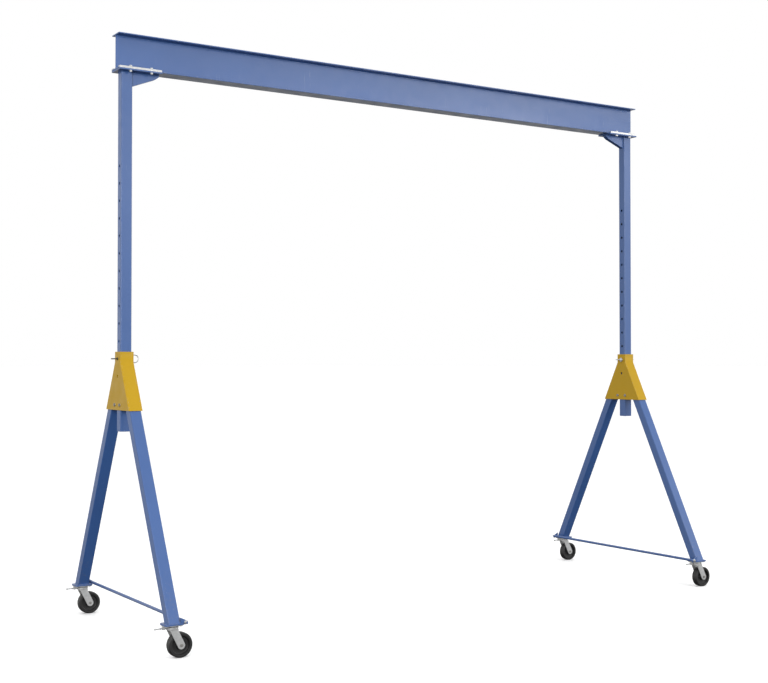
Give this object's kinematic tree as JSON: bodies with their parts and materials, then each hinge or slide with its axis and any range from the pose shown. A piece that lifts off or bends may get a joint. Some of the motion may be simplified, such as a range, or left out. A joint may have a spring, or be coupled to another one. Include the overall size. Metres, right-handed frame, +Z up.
{
  "type": "portable gantry crane",
  "caption": "Rolling gantry crane: a rolled steel I-beam on two pinned, height-adjustable A-frames with braced feet and locking swivel casters.",
  "frame": {"origin": "on the floor under the middle of the beam", "axes": "+X along the beam, the way the casters trail; +Y across the beam; +Z up"},
  "size_m": [6.2338, 2.274, 5.212],
  "materials": {
    "blue_paint": "semi-gloss enamel over rolled steel",
    "yellow_paint": "semi-gloss enamel over plate steel",
    "zinc": "bright zinc plate, satin",
    "black_phenolic": "moulded phenolic, satin",
    "bearing_steel": "ground steel balls"
  },
  "bodies": {
    "beam": {"i_beam": "blue_paint", "clamp_bars": "zinc", "clamp_bolts": "zinc", "clamp_nuts": "zinc", "left_upright": "blue_paint", "left_seat_plate": "blue_paint", "left_gusset": "blue_paint", "right_upright": "blue_paint", "right_seat_plate": "blue_paint", "right_gusset": "blue_paint"},
    "left_frame": {"left_bracket_outer_plate": "yellow_paint", "left_bracket_inner_plate": "yellow_paint", "left_bracket_skirts": "yellow_paint", "left_guide_sleeves": "zinc", "left_guide_bolts": "zinc", "left_frame_nuts": "zinc", "left_tie_rod": "blue_paint", "left_tie_ears": "blue_paint", "left_foot_plates": "blue_paint", "left_front_leg": "blue_paint", "left_back_leg": "blue_paint", "left_caster_plates": "zinc", "left_kingpin_nuts": "zinc", "left_swivel_balls": "bearing_steel", "left_caster_bolts": "zinc"},
    "left_pin": {"left_height_pin": "zinc"},
    "left_front_swivel": {"left_front_fork": "zinc", "left_front_axle": "zinc"},
    "left_front_wheel": {"left_front_wheel": "black_phenolic"},
    "left_front_lock": {"left_front_lock_pin": "zinc"},
    "left_back_swivel": {"left_back_fork": "zinc", "left_back_axle": "zinc"},
    "left_back_wheel": {"left_back_wheel": "black_phenolic"},
    "left_back_lock": {"left_back_lock_pin": "zinc"},
    "right_frame": {"right_bracket_outer_plate": "yellow_paint", "right_bracket_inner_plate": "yellow_paint", "right_bracket_skirts": "yellow_paint", "right_guide_sleeves": "zinc", "right_guide_bolts": "zinc", "right_frame_nuts": "zinc", "right_tie_rod": "blue_paint", "right_tie_ears": "blue_paint", "right_foot_plates": "blue_paint", "right_front_leg": "blue_paint", "right_back_leg": "blue_paint", "right_caster_plates": "zinc", "right_kingpin_nuts": "zinc", "right_swivel_balls": "bearing_steel", "right_caster_bolts": "zinc"},
    "right_pin": {"right_height_pin": "zinc"},
    "right_front_swivel": {"right_front_fork": "zinc", "right_front_axle": "zinc"},
    "right_front_wheel": {"right_front_wheel": "black_phenolic"},
    "right_front_lock": {"right_front_lock_pin": "zinc"},
    "right_back_swivel": {"right_back_fork": "zinc", "right_back_axle": "zinc"},
    "right_back_wheel": {"right_back_wheel": "black_phenolic"},
    "right_back_lock": {"right_back_lock_pin": "zinc"}
  },
  "joints": [
    {"name": "left_height", "type": "slide", "parent": "beam", "child": "left_frame", "axis": [0, 0, 1], "range_m": [-0.1524, 1.6764]},
    {"name": "left_pin_pull", "type": "slide", "parent": "left_frame", "child": "left_pin", "axis": [1, 0, 0], "range_m": [0, 0.2]},
    {"name": "left_front_swivel_turn", "type": "hinge", "parent": "left_frame", "child": "left_front_swivel", "pos_m": [-2.9576, -1.055, 0.24], "axis": [0, 0, 1], "continuous": true},
    {"name": "left_front_wheel_roll", "type": "hinge", "parent": "left_front_swivel", "child": "left_front_wheel", "pos_m": [-2.8936, -1.055, 0.1016], "axis": [0, 1, 0], "continuous": true},
    {"name": "left_front_lock_push", "type": "slide", "parent": "left_frame", "child": "left_front_lock", "axis": [1, 0, 0], "range_m": [0, 0.01]},
    {"name": "left_back_swivel_turn", "type": "hinge", "parent": "left_frame", "child": "left_back_swivel", "pos_m": [-2.9576, 1.055, 0.24], "axis": [0, 0, 1], "continuous": true},
    {"name": "left_back_wheel_roll", "type": "hinge", "parent": "left_back_swivel", "child": "left_back_wheel", "pos_m": [-2.8936, 1.055, 0.1016], "axis": [0, 1, 0], "continuous": true},
    {"name": "left_back_lock_push", "type": "slide", "parent": "left_frame", "child": "left_back_lock", "axis": [1, 0, 0], "range_m": [0, 0.01]},
    {"name": "right_height", "type": "slide", "parent": "beam", "child": "right_frame", "axis": [0, 0, 1], "range_m": [-0.1524, 1.6764]},
    {"name": "right_pin_pull", "type": "slide", "parent": "right_frame", "child": "right_pin", "axis": [-1, 0, 0], "range_m": [0, 0.2]},
    {"name": "right_front_swivel_turn", "type": "hinge", "parent": "right_frame", "child": "right_front_swivel", "pos_m": [2.9576, -1.055, 0.24], "axis": [0, 0, 1], "continuous": true},
    {"name": "right_front_wheel_roll", "type": "hinge", "parent": "right_front_swivel", "child": "right_front_wheel", "pos_m": [3.0216, -1.055, 0.1016], "axis": [0, 1, 0], "continuous": true},
    {"name": "right_front_lock_push", "type": "slide", "parent": "right_frame", "child": "right_front_lock", "axis": [1, 0, 0], "range_m": [0, 0.01]},
    {"name": "right_back_swivel_turn", "type": "hinge", "parent": "right_frame", "child": "right_back_swivel", "pos_m": [2.9576, 1.055, 0.24], "axis": [0, 0, 1], "continuous": true},
    {"name": "right_back_wheel_roll", "type": "hinge", "parent": "right_back_swivel", "child": "right_back_wheel", "pos_m": [3.0216, 1.055, 0.1016], "axis": [0, 1, 0], "continuous": true},
    {"name": "right_back_lock_push", "type": "slide", "parent": "right_frame", "child": "right_back_lock", "axis": [1, 0, 0], "range_m": [0, 0.01]}
  ]
}
